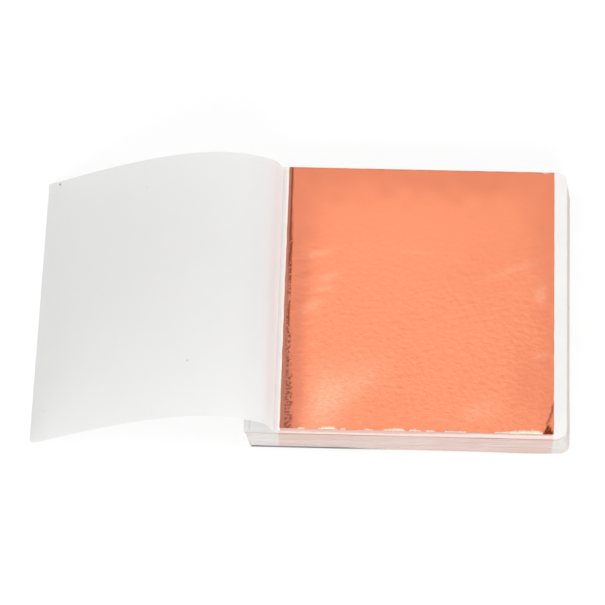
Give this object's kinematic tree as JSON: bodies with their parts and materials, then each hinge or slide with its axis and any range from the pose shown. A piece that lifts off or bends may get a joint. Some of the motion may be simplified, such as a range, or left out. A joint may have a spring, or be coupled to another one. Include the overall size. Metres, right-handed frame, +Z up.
{
  "type": "metal leaf booklet",
  "caption": "Glued block of tissue sheets with a loose metal leaf on each, its first tissue turned over to one side so that a leaf lies open.",
  "frame": {"origin": "middle of the block's flat underside, which lies on the table", "axes": "+X from the glued spine to the fore edge, +Y to the back, +Z up out of the block towards the open leaf"},
  "size_m": [0.1597, 0.0872, 0.0252],
  "materials": {
    "tissue": "matte",
    "metal_leaf": "satin",
    "glue": "satin"
  },
  "bodies": {
    "block": {"tissues_01": "tissue", "tissues_02": "tissue", "tissues_03": "tissue", "tissues_04": "tissue", "tissues_05": "tissue", "tissues_06": "tissue", "tissues_07": "tissue", "tissues_08": "tissue", "tissues_09": "tissue", "tissues_10": "tissue", "tissues_11": "tissue", "tissues_12": "tissue", "tissues_13": "tissue", "tissues_14": "tissue", "tissues_15": "tissue", "tissues_16": "tissue", "tissues_17": "tissue", "tissues_18": "tissue", "tissues_19": "tissue", "tissues_20": "tissue", "leaves_01": "metal_leaf", "leaves_02": "metal_leaf", "leaves_03": "metal_leaf", "leaves_04": "metal_leaf", "leaves_05": "metal_leaf", "leaves_06": "metal_leaf", "leaves_07": "metal_leaf", "leaves_08": "metal_leaf", "leaves_09": "metal_leaf", "leaves_10": "metal_leaf", "leaves_11": "metal_leaf", "leaves_12": "metal_leaf", "leaves_13": "metal_leaf", "leaves_14": "metal_leaf", "leaves_15": "metal_leaf", "leaves_16": "metal_leaf", "leaves_17": "metal_leaf", "leaves_18": "metal_leaf", "leaves_19": "metal_leaf", "leaves_20": "metal_leaf", "first_tissue": "tissue", "turned_tissue_margin": "tissue", "spine_glue": "glue"},
    "turned_strip_1": {"turned_tissue_strip_1": "tissue"},
    "turned_strip_2": {"turned_tissue_strip_2": "tissue"},
    "turned_strip_3": {"turned_tissue_strip_3": "tissue"},
    "turned_strip_4": {"turned_tissue_strip_4": "tissue"},
    "turned_strip_5": {"turned_tissue_strip_5": "tissue"},
    "turned_strip_6": {"turned_tissue_strip_6": "tissue"},
    "first_leaf": {"first_leaf": "metal_leaf"}
  },
  "joints": [
    {"name": "tissue_fold", "type": "hinge", "parent": "block", "child": "turned_strip_1", "pos_m": [-0.04, -0.0013, 0.0123], "axis": [0, 1, 0], "range_deg": [0, 109]},
    {"name": "tissue_bend_2", "type": "hinge", "parent": "turned_strip_1", "child": "turned_strip_2", "pos_m": [-0.04291, -0.0013, 0.02039], "axis": [0, 1, 0], "range_deg": [0, 42.37]},
    {"name": "tissue_bend_3", "type": "hinge", "parent": "turned_strip_2", "child": "turned_strip_3", "pos_m": [-0.05204, -0.0013, 0.02521], "axis": [0, 1, 0], "range_deg": [0, 28.93]},
    {"name": "tissue_bend_4", "type": "hinge", "parent": "turned_strip_3", "child": "turned_strip_4", "pos_m": [-0.06442, -0.0013, 0.02498], "axis": [0, 1, 0], "range_deg": [0, 17.68]},
    {"name": "tissue_bend_5", "type": "hinge", "parent": "turned_strip_4", "child": "turned_strip_5", "pos_m": [-0.07849, -0.0013, 0.0202], "axis": [0, 1, 0], "range_deg": [0, 9.45]},
    {"name": "tissue_bend_6", "type": "hinge", "parent": "turned_strip_5", "child": "turned_strip_6", "pos_m": [-0.09421, -0.0013, 0.01178], "axis": [0, 1, 0], "range_deg": [0, 4.31]},
    {"name": "first_leaf_slide", "type": "slide", "parent": "block", "child": "first_leaf", "axis": [0, -1, 0], "range_m": [0, 0.088]}
  ],
  "couplings": [
    {"joint": "tissue_bend_2", "follows": "tissue_fold", "ratio": 0.38581},
    {"joint": "tissue_bend_3", "follows": "tissue_fold", "ratio": 0.26345},
    {"joint": "tissue_bend_4", "follows": "tissue_fold", "ratio": 0.16091},
    {"joint": "tissue_bend_5", "follows": "tissue_fold", "ratio": 0.086},
    {"joint": "tissue_bend_6", "follows": "tissue_fold", "ratio": 0.03919}
  ]
}
